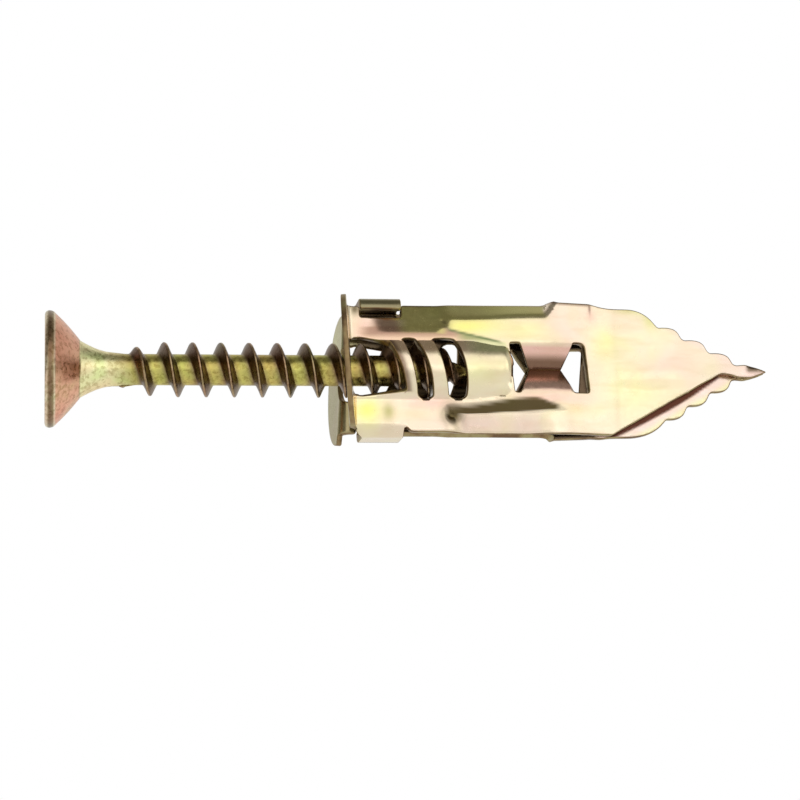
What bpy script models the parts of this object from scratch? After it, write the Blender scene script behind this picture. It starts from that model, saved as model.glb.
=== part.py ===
"""Hammer-in sheet-metal wall anchor with its countersunk coarse-thread screw.

The anchor is two equal stamped halves, turned half a turn about the screw's axis from each
other. Each half is a leg with a bent collar lobe; a leg opens about the bend at its collar.
The origin is on the screw's axis at the collar's wall face, +X runs to the anchor's point
and the front half is on the -Y side.
"""

import math

import bpy
import bmesh
from mathutils import Matrix, Vector
from mathutils.geometry import delaunay_2d_cdt

MM = 0.001

# Stamped sheet: distances along the axis (u) and across it (v), depths from the middle plane.
SHEET = 0.60 * MM
PLATE_DEPTH = 1.60 * MM
POINT_DEPTH = 0.50 * MM
PLATE_END = 14.9 * MM
POINT_START = 19.8 * MM
HALF_WIDTH = 4.88 * MM
SHOULDER_HEIGHT = 4.60 * MM
STRIP_WIDTH = 4.64 * MM
LOWER_WIDTH = 4.82 * MM
CREASE = 3.40 * MM
CREASE_SLOPE = 0.92

# Thread channel: a half-round bulge with a rounded nose and slanted slots.
CHANNEL_RADIUS = 2.39 * MM
CHANNEL_END = 8.8 * MM
CHANNEL_NOSE = 2.6 * MM
SLOT_HALF = 2.05 * MM
SLOTS = (
    ((4.0 * MM, 5.5 * MM), (5.2 * MM, 6.2 * MM)),
    ((6.2 * MM, 8.1 * MM), (7.3 * MM, 8.6 * MM)),
)
FIRST_SLOT_END = (2.7 * MM, 3.7 * MM)

# Window with two fins bent in towards the middle plane.
WINDOW = (11.9 * MM, 17.4 * MM)
WINDOW_HALF = 1.80 * MM
WINDOW_LEAN = 0.12 * MM
FIN_BASE = (12.5 * MM, 16.4 * MM)
FIN_TIP = (13.2 * MM, 15.7 * MM)
FIN_GAP = 0.12 * MM
FIN_DROP = 0.92 * MM

# Locking tab on the lower edge, and the notch that clears the other half's tab.
TAB = (1.0 * MM, 3.7 * MM)
TAB_BEND = 4.32 * MM
TAB_RADIUS = 0.50 * MM
TAB_REACH = 2.75 * MM
NOTCH = (4.10 * MM, 3.60 * MM)

# Collar lobe and its bend.
BEND_X = 0.30 * MM
BEND_RADIUS = 0.60 * MM
BEND_ANGLE = math.radians(81)
COLLAR_CUT = 0.55 * MM
LEG_CUT = 0.85 * MM
LOBE_REACH = 3.15 * MM
LOBE_HALF = 4.88 * MM
LOBE_MIDDLE = 0.27 * MM
LOBE_POWER = 2.3
COLLAR_HOLE = 2.60 * MM

# Point of the leg: one scalloped edge and one straight edge.
POINT_TIP = 31.3 * MM
SHOULDER = (20.7 * MM, 23.0 * MM)
TOOTH_LENGTH = 1.97 * MM
TOOTH_STEP = 0.93 * MM
TOOTH_FLAT = 0.52
TOOTH_COUNT = 3
FIRST_TOOTH = 3.22 * MM
SPEAR_HALF = 0.58 * MM
SPEAR_LENGTH = 0.8 * MM
STRAIGHT_EDGE = (19.3 * MM, 27.8 * MM)
STRIP_END = (14.4 * MM, 15.2 * MM)
SHOULDER_START = 18.0 * MM
SPEAR_LOWER = (29.1 * MM, 30.1 * MM)
SPEAR_DROP = 0.42 * MM
POINT_EDGE = 0.15 * MM

# Screw.
HEAD_FACE = -21.9 * MM
HEAD_RADIUS = 4.22 * MM
HEAD_PROFILE = (
    (-21.70 * MM, 4.22 * MM),
    (-21.22 * MM, 4.22 * MM),
    (-19.50 * MM, 2.30 * MM),
    (-18.85 * MM, 1.76 * MM),
    (-18.10 * MM, 1.45 * MM),
)
THREAD_START = -17.64 * MM
THREAD_PHASE = math.pi
NECK_RADIUS = 1.32 * MM
SCREW_TIP = 9.5 * MM
PITCH = 2.04 * MM
ROOT_RADIUS = 1.14 * MM
CREST_RADIUS = 2.00 * MM
GIMLET = 3.3 * MM
THREAD_STEPS = 16
RECESS_RADIUS = 2.30 * MM
RECESS_FLOOR = 1.00 * MM
RECESS_DEPTH = 2.30 * MM
RECESS_BLADE = 0.90 * MM
CORE_RADIUS = 0.35 * MM
CORE_BORE = 0.60 * MM
CORE_END = -18.3 * MM
CORE_GAP = 0.30 * MM

# Grid lines of the sheet and joint places.
ROWS = tuple(n * MM for n in (-3.0, -2.4, -2.05, -1.75, -1.3, -0.7, 0.0, 0.7, 1.3, 1.75, 2.05, 2.4, 3.0))
OUTER_ROWS = tuple(n * MM for n in (-3.9, -3.4, 3.4, 3.9))
GRID_STEP = 0.95 * MM
EDGE_CLEARANCE = 0.22 * MM
LEG_PIVOT = Vector((0.70 * MM, -1.60 * MM, 0.0))


def clear_scene():
    for item in list(bpy.data.objects):
        bpy.data.objects.remove(item, do_unlink=True)


def plated_steel(name, color, roughness):
    material = bpy.data.materials.new(name)
    material.use_nodes = True
    shader = material.node_tree.nodes["Principled BSDF"]
    shader.inputs["Base Color"].default_value = (*color, 1.0)
    shader.inputs["Metallic"].default_value = 1.0
    shader.inputs["Roughness"].default_value = roughness
    return material


def add_object(name, mesh, material):
    piece = bpy.data.objects.new(name, mesh)
    bpy.context.scene.collection.objects.link(piece)
    if not mesh.materials:
        mesh.materials.append(material)
    return piece


def ramp(value, low, high):
    part = min(max((value - low) / (high - low), 0.0), 1.0)
    return part * part * (3.0 - 2.0 * part)


def soft_positive(value, softness):
    return 0.5 * (value + math.sqrt(value * value + softness * softness))


def rounded(corners, radius, steps=3):
    """Outline through the corners, each one replaced by a short arc-like curve."""
    outline = []
    count = len(corners)
    for index, corner in enumerate(corners):
        here = Vector(corner)
        before = Vector(corners[index - 1]) - here
        after = Vector(corners[(index + 1) % count]) - here
        reach = min(radius, 0.45 * before.length, 0.45 * after.length)
        start = here + before.normalized() * reach
        end = here + after.normalized() * reach
        for step in range(steps + 1):
            t = step / steps
            outline.append(start * (1 - t) ** 2 + here * 2 * t * (1 - t) + end * t * t)
    return outline


# ---- the bent surface of a half ----

def plate_depth(u):
    """Middle surface of the flat plate: level, then sloping down to the point."""
    slope = (PLATE_DEPTH - POINT_DEPTH) / (POINT_START - PLATE_END)
    drop = soft_positive(u - PLATE_END, 0.5 * MM) * slope
    return POINT_DEPTH + soft_positive(PLATE_DEPTH - drop - POINT_DEPTH, 0.06 * MM)


def channel_rise(u, v):
    """Height of the half-round thread channel above the plate."""
    nose = max(u - CHANNEL_END, 0.0) / CHANNEL_NOSE
    closing = nose * nose * (CHANNEL_RADIUS ** 2 - PLATE_DEPTH ** 2)
    square = max(CHANNEL_RADIUS ** 2 - v * v - closing, 0.0)
    return soft_positive(math.sqrt(square) - PLATE_DEPTH, 0.10 * MM)


def strip_drop(u, v):
    """How far the side strips outside the creases slope back."""
    if v > 0:
        strength = 1.0 - ramp(u, 14.4 * MM, 15.0 * MM)
    else:
        strength = ramp(u, 4.1 * MM, 8.0 * MM) * (1.0 - ramp(u, 15.0 * MM, 15.8 * MM))
    return CREASE_SLOPE * strength * soft_positive(abs(v) - CREASE, 0.08 * MM)


def fin_drop(u, v):
    """How far the window's fins bend in; there is no other sheet inside the window."""
    inside = WINDOW_HALF - abs(v)
    if inside <= 0 or not FIN_BASE[0] - 0.3 * MM < u < FIN_BASE[1] + 0.3 * MM:
        return 0.0
    return FIN_DROP * (inside / (WINDOW_HALF - FIN_GAP)) ** 1.2


def sheet_point(u, v):
    """Middle surface of the front half at plan position (u, v)."""
    if u < BEND_X:
        angle = min((BEND_X - u) / BEND_RADIUS, BEND_ANGLE)
        beyond = BEND_X - u - angle * BEND_RADIUS
        x = BEND_X - BEND_RADIUS * math.sin(angle) - beyond * math.cos(angle)
        depth = PLATE_DEPTH + BEND_RADIUS * (1 - math.cos(angle)) + beyond * math.sin(angle)
        return Vector((x, -depth, v))
    if v < -TAB_BEND and u < NOTCH[0]:
        angle = min((-TAB_BEND - v) / TAB_RADIUS, math.pi / 2)
        beyond = -TAB_BEND - v - angle * TAB_RADIUS
        depth = PLATE_DEPTH - TAB_RADIUS * (1 - math.cos(angle)) - beyond
        return Vector((u, -depth, -TAB_BEND - TAB_RADIUS * math.sin(angle)))
    depth = plate_depth(u) + channel_rise(u, v) - strip_drop(u, v) - fin_drop(u, v)
    return Vector((u, -depth, v))


def sheet_normal(u, v):
    """Unit normal of the middle surface, towards the outer face."""
    step = 0.01 * MM
    along = sheet_point(u + step, v) - sheet_point(u - step, v)
    across = sheet_point(u, v + step) - sheet_point(u, v - step)
    return along.cross(across).normalized()


def grid_points(outline, holes):
    """Plan points on the grid lines that lie on the sheet, clear of its edges."""
    loops = [outline] + holes
    low = min(point.x for point in outline)
    high = max(point.x for point in outline)
    columns = max(int((high - low) / GRID_STEP), 1)
    points = []
    for row in ROWS + OUTER_ROWS:
        for column in range(1, columns):
            point = Vector((low + (high - low) * column / columns, row))
            inside = in_loop(point, outline) and not any(in_loop(point, hole) for hole in holes)
            if inside and all(clear_of(point, loop) for loop in loops):
                points.append(point)
    return points


def in_loop(point, loop):
    inside = False
    for index, end in enumerate(loop):
        start = loop[index - 1]
        if (start.y > point.y) != (end.y > point.y):
            cross = start.x + (point.y - start.y) * (end.x - start.x) / (end.y - start.y)
            inside = inside != (point.x < cross)
    return inside


def clear_of(point, loop):
    for index, end in enumerate(loop):
        start = loop[index - 1]
        line = end - start
        part = min(max((point - start).dot(line) / max(line.length_squared, 1e-18), 0.0), 1.0)
        if (start + line * part - point).length < EDGE_CLEARANCE:
            return False
    return True


def sheet_mesh(name, outline, holes, origin):
    """Closed solid of the bent sheet over a plan outline with holes."""
    points = []
    loops = []
    for loop in [outline] + holes:
        loops.append([len(points) + index for index in range(len(loop))])
        points.extend(loop)
    points.extend(grid_points(outline, holes))
    scaled = [point / MM for point in points]
    edges = [(loop[index - 1], number) for loop in loops for index, number in enumerate(loop)]
    plan, _, faces, _, _, _ = delaunay_2d_cdt(scaled, edges, [], 0, 1e-7, False)
    shape = bmesh.new()
    outer = []
    inner = []
    for point in plan:
        u, v = point * MM
        middle = sheet_point(u, v) - origin
        offset = sheet_normal(u, v) * SHEET / 2
        outer.append(shape.verts.new(middle + offset))
        inner.append(shape.verts.new(middle - offset))
    rims = {}
    for face in faces:
        centre = sum((plan[number] for number in face), Vector((0.0, 0.0))) / len(face) * MM
        if not in_loop(centre, outline) or any(in_loop(centre, hole) for hole in holes):
            continue
        shape.faces.new([outer[number] for number in face])
        shape.faces.new([inner[number] for number in reversed(face)])
        for index, number in enumerate(face):
            rims[(face[index - 1], number)] = True
    for start, end in rims:
        if (end, start) not in rims:
            shape.faces.new((outer[end], outer[start], inner[start], inner[end]))
    loose = [vertex for vertex in shape.verts if not vertex.link_faces]
    bmesh.ops.delete(shape, geom=loose, context="VERTS")
    bmesh.ops.recalc_face_normals(shape, faces=shape.faces)
    return finish_mesh(shape, name)


def finish_mesh(shape, name):
    mesh = bpy.data.meshes.new(name)
    shape.to_mesh(mesh)
    shape.free()
    mesh.shade_smooth()
    mesh.set_sharp_from_angle(angle=math.radians(35))
    return mesh


# ---- plan outlines ----

def scallops():
    """The toothed edge from the shoulder to the spear point, with round steps."""
    edge = [Vector((SHOULDER[0], SHOULDER_HEIGHT))]
    for step in range(1, 4):
        turn = math.radians(62) * step / 3
        reach = (SHOULDER[1] - SHOULDER[0]) * math.sin(turn) / math.sin(math.radians(62))
        drop = (SHOULDER_HEIGHT - FIRST_TOOTH) * (1 - math.cos(turn)) / (1 - math.cos(math.radians(62)))
        edge.append(Vector((SHOULDER[0] + reach, SHOULDER_HEIGHT - drop)))
    for tooth in range(TOOTH_COUNT):
        start = SHOULDER[1] + tooth * TOOTH_LENGTH
        height = FIRST_TOOTH - tooth * TOOTH_STEP
        edge.append(Vector((start + TOOTH_LENGTH * TOOTH_FLAT, height)))
        edge.append(Vector((start + TOOTH_LENGTH * 0.80, height - TOOTH_STEP * 0.45)))
        edge.append(Vector((start + TOOTH_LENGTH * 0.98, height - TOOTH_STEP * 0.98)))
    neck = SHOULDER[1] + TOOTH_COUNT * TOOTH_LENGTH
    edge.append(Vector((neck + SPEAR_LENGTH, SPEAR_HALF)))
    edge.append(Vector((POINT_TIP, 0.05 * MM)))
    return edge


def leg_outline():
    left = rounded([
        (LEG_CUT, -TAB_BEND),
        (LEG_CUT, -SLOT_HALF - 0.1 * MM),
        (FIRST_SLOT_END[1], -SLOT_HALF),
        (FIRST_SLOT_END[0], SLOT_HALF),
        (LEG_CUT, SLOT_HALF + 0.1 * MM),
        (LEG_CUT, NOTCH[1]),
    ], 0.5 * MM)[4:-4]
    tab_end = TAB_BEND + TAB_RADIUS * math.pi / 2 + TAB_REACH
    top = [
        Vector((LEG_CUT, NOTCH[1])),
        Vector((NOTCH[0], NOTCH[1])),
        Vector((NOTCH[0], STRIP_WIDTH - 0.25 * MM)),
        Vector((NOTCH[0] + 0.25 * MM, STRIP_WIDTH)),
        Vector((STRIP_END[0], STRIP_WIDTH)),
        Vector((STRIP_END[1], HALF_WIDTH)),
        Vector((SHOULDER_START, HALF_WIDTH)),
    ]
    bottom = [
        Vector((SPEAR_LOWER[1], -SPEAR_DROP)),
        Vector((SPEAR_LOWER[0], -SPEAR_DROP)),
        Vector((STRAIGHT_EDGE[1], -POINT_EDGE)),
        Vector((STRAIGHT_EDGE[0], -HALF_WIDTH)),
        Vector((STRIP_END[1], -HALF_WIDTH)),
        Vector((STRIP_END[0], -LOWER_WIDTH)),
        Vector((NOTCH[0] + 0.15 * MM, -LOWER_WIDTH)),
        Vector((NOTCH[0], -LOWER_WIDTH + 0.2 * MM)),
        Vector((NOTCH[0], -TAB_BEND + 0.1 * MM)),
        Vector((TAB[1], -TAB_BEND + 0.1 * MM)),
        Vector((TAB[1], -tab_end + 0.3 * MM)),
        Vector((TAB[1] - 0.3 * MM, -tab_end)),
        Vector((TAB[0] + 0.3 * MM, -tab_end)),
        Vector((TAB[0], -tab_end + 0.3 * MM)),
        Vector((TAB[0], -TAB_BEND)),
        Vector((LEG_CUT, -TAB_BEND)),
    ]
    outline = subdivide(top + scallops() + bottom + left)
    outline.reverse()
    return outline


def subdivide(loop):
    """Adds points on long edges, so that the sheet bends along them."""
    points = []
    for index, start in enumerate(loop):
        end = loop[(index + 1) % len(loop)]
        parts = max(int((end - start).length / GRID_STEP + 0.3), 1)
        points.extend(start.lerp(end, part / parts) for part in range(parts))
    return [point for index, point in enumerate(points) if (point - points[index - 1]).length > 1e-6]


def slot_outline(top, bottom):
    corners = [(bottom[0], -SLOT_HALF), (bottom[1], -SLOT_HALF), (top[1], SLOT_HALF), (top[0], SLOT_HALF)]
    outline = []
    for start, end in zip(corners, corners[1:] + corners[:1]):
        outline.append(Vector(start))
        if start[1] != end[1]:
            outline.extend(Vector(start).lerp(Vector(end), part / 6) for part in range(1, 6))
    return [Vector(point) for point in outline]


def window_outline():
    """The opening round the fins: two end openings joined by the slit between the fins."""
    left, right = WINDOW
    half = WINDOW_HALF
    lean = WINDOW_LEAN
    upper = [
        (right - lean, half), (FIN_BASE[1], half), (FIN_TIP[1], FIN_GAP),
        (FIN_TIP[0], FIN_GAP), (FIN_BASE[0], half), (left - lean, half),
    ]
    lower = [
        (left + lean, -half), (FIN_BASE[0], -half), (FIN_TIP[0], -FIN_GAP),
        (FIN_TIP[1], -FIN_GAP), (FIN_BASE[1], -half), (right + lean, -half),
    ]
    return subdivide([Vector(corner) for corner in upper + lower])


def collar_outline():
    """Lobe with its bend strips on both sides of the half-round hole."""
    bend_end = BEND_X - BEND_RADIUS * BEND_ANGLE
    lobe_root = bend_end + 0.25 * MM
    reach = LOBE_REACH + 0.25 * MM
    steps = 14
    outline = [Vector((COLLAR_CUT, NOTCH[1]))]
    for step in range(steps + 1):
        turn = math.pi * step / steps
        along = math.sin(turn) ** (2 / LOBE_POWER)
        across = math.copysign(abs(math.cos(turn)) ** (2 / LOBE_POWER), math.cos(turn))
        outline.append(Vector((lobe_root - reach * along, LOBE_MIDDLE + LOBE_HALF * across)))
    outline.append(Vector((COLLAR_CUT, -TAB_BEND)))
    outline.extend(hole_edge(bend_end))
    return outline


def hole_edge(bend_end):
    """The lobe's part of the round hole, in plan, from the lower strip to the upper one."""
    crown = bend_end - (COLLAR_HOLE - sheet_depth(bend_end)) / math.sin(BEND_ANGLE)
    steps = 8
    edge = []
    for step in range(-steps, steps + 1):
        part = 1 - (step / steps) ** 2
        u = COLLAR_CUT + (crown - COLLAR_CUT) * part
        half = math.sqrt(max(COLLAR_HOLE ** 2 - sheet_depth(u) ** 2, 0.0))
        edge.append(Vector((u, math.copysign(half, step) if step else 0.0)))
    return edge


def sheet_depth(u):
    """Depth of the bent part of the sheet at plan position u, away from the channel."""
    return -sheet_point(min(u, BEND_X - 1e-7), 0.0).y


# ---- the pieces ----

def build_legs(material):
    window = window_outline()
    slots = [slot_outline(top, bottom) for top, bottom in SLOTS]
    mesh = sheet_mesh("leg", leg_outline(), [window] + slots, LEG_PIVOT)
    front = add_object("leg_front", mesh, material)
    front.location = LEG_PIVOT
    rear = add_object("leg_rear", mesh, material)
    rear.location = (LEG_PIVOT.x, -LEG_PIVOT.y, 0.0)
    rear.rotation_euler = (math.pi, 0.0, 0.0)


def build_collars(material):
    mesh = sheet_mesh("collar", collar_outline(), [], Vector((0.0, 0.0, 0.0)))
    add_object("collar_front", mesh, material)
    rear = add_object("collar_rear", mesh, material)
    rear.rotation_euler = (math.pi, 0.0, 0.0)


def screw_radii(x):
    """Root and crest radius along the screw, with the gimlet point."""
    point = min(max((SCREW_TIP - x) / GIMLET, 0.0), 1.0)
    neck = (NECK_RADIUS - ROOT_RADIUS) * (1.0 - ramp(x, THREAD_START, THREAD_START + 0.5 * PITCH))
    root = (ROOT_RADIUS + neck) * point ** 0.8
    fade = ramp(x, THREAD_START, THREAD_START + 1.3 * PITCH)
    crest = root + (CREST_RADIUS - ROOT_RADIUS) * fade * min(1.25 * point, 1.0)
    return root, crest


def thread_vertex(shape, step, part, crest):
    """Vertex of the helix: step around the turns, part of a pitch along the axis."""
    turn = 2 * math.pi * step / THREAD_STEPS + THREAD_PHASE
    x = THREAD_START + PITCH * (step / THREAD_STEPS + part)
    root_radius, crest_radius = screw_radii(x)
    radius = crest_radius if crest else root_radius
    return shape.verts.new((x, -radius * math.sin(turn), radius * math.cos(turn)))


def ring(shape, x, radius):
    turns = [2 * math.pi * step / THREAD_STEPS + THREAD_PHASE for step in range(THREAD_STEPS)]
    return [shape.verts.new((x, -radius * math.sin(turn), radius * math.cos(turn))) for turn in turns]


def bridge(shape, first, second):
    count = len(first)
    for index in range(count):
        following = (index + 1) % count
        shape.faces.new((first[index], first[following], second[following], second[index]))


def screw_mesh():
    """Head, neck and one continuous helical thread surface down to the gimlet point."""
    shape = bmesh.new()
    profile = ((0.20, False), (0.44, True), (0.50, True), (0.74, False))
    total = int((SCREW_TIP - THREAD_START) / PITCH * THREAD_STEPS) - THREAD_STEPS
    lines = [[thread_vertex(shape, step, part, crest) for part, crest in profile] for step in range(total)]
    for step in range(total - 1):
        for index in range(len(profile) - 1):
            shape.faces.new((lines[step][index], lines[step + 1][index],
                             lines[step + 1][index + 1], lines[step][index + 1]))
    for step in range(total - THREAD_STEPS - 1):
        shape.faces.new((lines[step][-1], lines[step + 1][-1],
                         lines[step + 1 + THREAD_STEPS][0], lines[step + THREAD_STEPS][0]))
    close_thread_start(shape, lines)
    close_thread_end(shape, lines, total)
    bmesh.ops.triangulate(shape, faces=[face for face in shape.faces if len(face.verts) > 4])
    bmesh.ops.recalc_face_normals(shape, faces=shape.faces)
    return finish_mesh(shape, "screw")


def close_thread_start(shape, lines):
    """Joins the helix's first turn to the neck, and the neck to the head."""
    root = ring(shape, THREAD_START, NECK_RADIUS)
    for index in range(THREAD_STEPS - 1):
        shape.faces.new((root[index], root[index + 1], lines[index + 1][0], lines[index][0]))
    shape.faces.new([root[-1], root[0]] + lines[0] + [lines[THREAD_STEPS][0], lines[THREAD_STEPS - 1][0]])
    before = root
    for x, radius in reversed(HEAD_PROFILE):
        current = ring(shape, x, radius)
        bridge(shape, current, before)
        before = current
    face = ring(shape, HEAD_FACE, HEAD_RADIUS - 0.15 * MM)
    bridge(shape, face, before)
    shape.faces.new(list(reversed(face)))


def close_thread_end(shape, lines, total):
    """Joins the helix's last turn to the screw's tip."""
    tip = shape.verts.new((SCREW_TIP, 0.0, 0.0))
    last = total - 1
    for step in range(last - THREAD_STEPS, last):
        if step + THREAD_STEPS > last:
            shape.faces.new((lines[step][-1], lines[step + 1][-1], tip))
    seam = last - THREAD_STEPS
    shape.faces.new((lines[seam][-1], lines[seam + 1][-1], tip))
    shape.faces.new([lines[seam][-1], tip, lines[last][-1]] + list(reversed(lines[last][:-1])))


def cross_cutter():
    """Tapered cross for the driving recess, with the core's bore below its floor."""
    cutter = None
    for turn in (0.0, math.pi / 2):
        blade = tapered_blade(turn)
        cutter = blade if cutter is None else cutter
        if cutter is not blade:
            union = cutter.modifiers.new("other_blade", "BOOLEAN")
            union.operation = "UNION"
            union.object = blade
    return cutter


def tapered_blade(turn):
    shape = bmesh.new()
    above = 0.5 * MM
    slope = (RECESS_RADIUS - RECESS_FLOOR) / RECESS_DEPTH
    ends = ((-above, RECESS_RADIUS + slope * above), (RECESS_DEPTH, RECESS_FLOOR))
    loops = []
    for depth, half in ends:
        corners = ((half, 1), (-half, 1), (-half, -1), (half, -1))
        x = HEAD_FACE + depth
        loops.append([shape.verts.new((x, y, side * RECESS_BLADE / 2)) for y, side in corners])
    bridge(shape, loops[0], loops[1])
    shape.faces.new(list(reversed(loops[0])))
    shape.faces.new(loops[1])
    bmesh.ops.recalc_face_normals(shape, faces=shape.faces)
    blade = add_object("cutter_blade", finish_mesh(shape, "blade"), None)
    blade.rotation_euler = (turn, 0.0, 0.0)
    return as_guide(blade)


def as_guide(piece):
    piece.hide_render = True
    piece.display_type = "WIRE"
    return piece


def axial_rod(name, start, end, radius, segments):
    shape = bmesh.new()
    place = Matrix.Translation(((start + end) / 2, 0.0, 0.0)) @ Matrix.Rotation(math.pi / 2, 4, "Y")
    bmesh.ops.create_cone(shape, cap_ends=True, segments=segments, radius1=radius, radius2=radius,
                          depth=end - start, matrix=place)
    return finish_mesh(shape, name)


def build_screw(thread_material):
    screw = add_object("screw", screw_mesh(), thread_material)
    cut(screw, cross_cutter(), "recess")
    bore_start = HEAD_FACE + RECESS_DEPTH - 0.2 * MM
    bore = axial_rod("core_bore", bore_start, CORE_END + CORE_GAP, CORE_BORE, 12)
    cut(screw, as_guide(add_object("cutter_bore", bore, None)), "bore")
    core = axial_rod("screw_core", HEAD_FACE + RECESS_DEPTH + CORE_GAP, CORE_END, CORE_RADIUS, 12)
    add_object("screw_core", core, thread_material)


def cut(piece, cutter, name):
    modifier = piece.modifiers.new(name, "BOOLEAN")
    modifier.operation = "DIFFERENCE"
    modifier.object = cutter


def main():
    clear_scene()
    zinc = plated_steel("yellow_zinc_sheet", (0.83, 0.68, 0.42), 0.28)
    thread = plated_steel("yellow_zinc_screw", (0.55, 0.44, 0.22), 0.32)
    build_collars(zinc)
    build_legs(zinc)
    build_screw(thread)


main()
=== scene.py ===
"""Fine model of the sheet-metal wall anchor and its screw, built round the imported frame.

Each stamped half is one continuous bent sheet: a plan outline is filled with a fine grid, and
every point is carried to the bent middle surface and given the sheet's thickness. Plan and
surface sizes are in millimetres; meshes are made in metres.
"""

import math

import bmesh
import bpy
import numpy as np
from mathutils import Matrix, Quaternion, Vector, noise
from mathutils.geometry import delaunay_2d_cdt


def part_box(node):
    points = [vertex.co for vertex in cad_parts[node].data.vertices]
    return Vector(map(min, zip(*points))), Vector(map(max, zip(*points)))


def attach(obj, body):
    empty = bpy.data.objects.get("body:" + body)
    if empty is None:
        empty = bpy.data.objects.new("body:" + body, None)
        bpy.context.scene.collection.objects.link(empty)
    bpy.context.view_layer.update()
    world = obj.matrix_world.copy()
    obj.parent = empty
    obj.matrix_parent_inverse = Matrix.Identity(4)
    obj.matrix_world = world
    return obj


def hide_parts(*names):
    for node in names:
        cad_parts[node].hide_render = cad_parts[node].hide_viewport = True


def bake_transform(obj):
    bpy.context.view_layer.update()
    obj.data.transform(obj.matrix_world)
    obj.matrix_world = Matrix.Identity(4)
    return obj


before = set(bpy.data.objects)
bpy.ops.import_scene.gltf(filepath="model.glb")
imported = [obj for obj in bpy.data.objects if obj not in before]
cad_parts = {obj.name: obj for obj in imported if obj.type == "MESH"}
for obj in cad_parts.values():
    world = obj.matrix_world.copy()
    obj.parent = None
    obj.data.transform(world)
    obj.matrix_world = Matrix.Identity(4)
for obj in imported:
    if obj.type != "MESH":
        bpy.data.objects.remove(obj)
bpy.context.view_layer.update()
MM = 0.001

# Sizes that the frame gives, in millimetres.
LEG_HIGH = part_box("leg_front")[1] / MM
LOBE_LOW, LOBE_HIGH = (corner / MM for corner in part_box("collar_front"))
SCREW_LOW, SCREW_HIGH = (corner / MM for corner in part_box("screw"))

# Sheet: distances along the axis (u) and across it (v), depths from the middle plane.
SHEET = 0.60
PLATE_DEPTH = 1.60
POINT_DEPTH = 0.50
SPEAR_CLOSING = 0.25
PLATE_END = 14.9
POINT_START = 19.8
HALF_WIDTH = 4.88
STRIP_WIDTH = 4.64
LOWER_WIDTH = 4.82
STRIP_END = (14.35, 14.9)
LOWER_END = (14.4, 15.2)
SHOULDER_START = 17.75
SHOULDER_EASE = 1.2
SHOULDER_HEIGHT = 4.60

# Upper strip: slopes back outside a crease. Lower strip: a step back outside a soft crease.
CHANNEL_CREASE = 2.35
UPPER_CREASE = 3.40
UPPER_DROP = 1.14
CREASE_RISE = 0.26
LOWER_STEP = 0.50
LOWER_SLOPE = 0.16

# Thread channel.
CHANNEL_RADIUS = 2.39
CHANNEL_END = 11.15
CHANNEL_NOSE = 0.62
CHANNEL_TAPER = 0.26
SLOT_HALF = 1.95
FIRST_SLOT = (2.62, 3.60, 4.05)
FIRST_SLOT_ROOTS = ((0.7, 2.08), (0.7, -2.16))
SECOND_SLOT = ((3.78, 4.48, 4.86), (4.75, 5.62, 5.98))
THIRD_SLOT = ((6.00, 6.72, 7.12), (7.60, 8.30, 8.42))
SLOT_ENDS = (0.12, 0.42)

# Window and fins.
WINDOW = (11.85, 17.45)
WINDOW_HALF = 1.84
WINDOW_LEAN = 0.17
WINDOW_TILT = 0.012
FIN_BASE = (12.45, 16.40)
FIN_TIP = (13.25, 15.65)
FIN_GAP = 0.12
FIN_DROP = 1.10

# Locking tab and the notch that clears the other half's tab.
TAB = (0.70, 3.78)
TAB_BEND = 4.34
TAB_RADIUS = 0.50
TAB_FLAT = 2.15
TAB_HOOK_RADIUS = 0.38
TAB_HOOK_ANGLE = math.radians(78)
TAB_HOOK_END = 0.30
NOTCH = (0.70, 3.85, 3.60)

# Collar lobe and its bend.
BEND_X = 0.30
BEND_RADIUS = 0.60
BEND_ANGLE = math.radians(81)
BEND_END = BEND_X - BEND_RADIUS * BEND_ANGLE
LOBE_LEAN = 0.056
LOBE_SHIFT = 0.12
LOBE_THIN = 0.36
LOBE_REACH = 3.15
LOBE_NECK = 0.06
LOBE_POWER = 2.3
COLLAR_HOLE = 2.60

# Point of the leg.
SHOULDER = (20.7, 23.0)
SHOULDER_SWING = math.radians(62)
TOOTH_LENGTH = 1.97
TOOTH_STEP = 0.93
TOOTH_COUNT = 3
FIRST_TOOTH = 3.22
SPEAR_HALF = 0.54
SPEAR_DROP = 0.44
SPEAR_LENGTH = 0.8
SPEAR_THIN = 0.50
STRAIGHT_EDGE = (19.3, 27.8)
POINT_EDGE = 0.15
SPEAR_FACET = 0.18
SPEAR_LOWER = (28.6, 29.1)
TOOTH_SHIFT = (0.68, 0.26)

# Dimples pressed in where the creases begin: centre, radius and depth.
DIMPLES = ((7.05, 3.20, 0.42, 0.16), (7.25, -3.55, 0.55, 0.34))

# Plating colours, painted shade and highlight colours; clouds as colour, centre, length, width and
# strength.
CREAM = (0.97, 0.85, 0.67)
YELLOW = (0.97, 0.95, 0.30)
PALE_YELLOW = (0.98, 0.94, 0.56)
PINK = (0.97, 0.64, 0.58)
PALE_PINK = (0.98, 0.77, 0.68)
ORANGE = (0.95, 0.70, 0.42)
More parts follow.
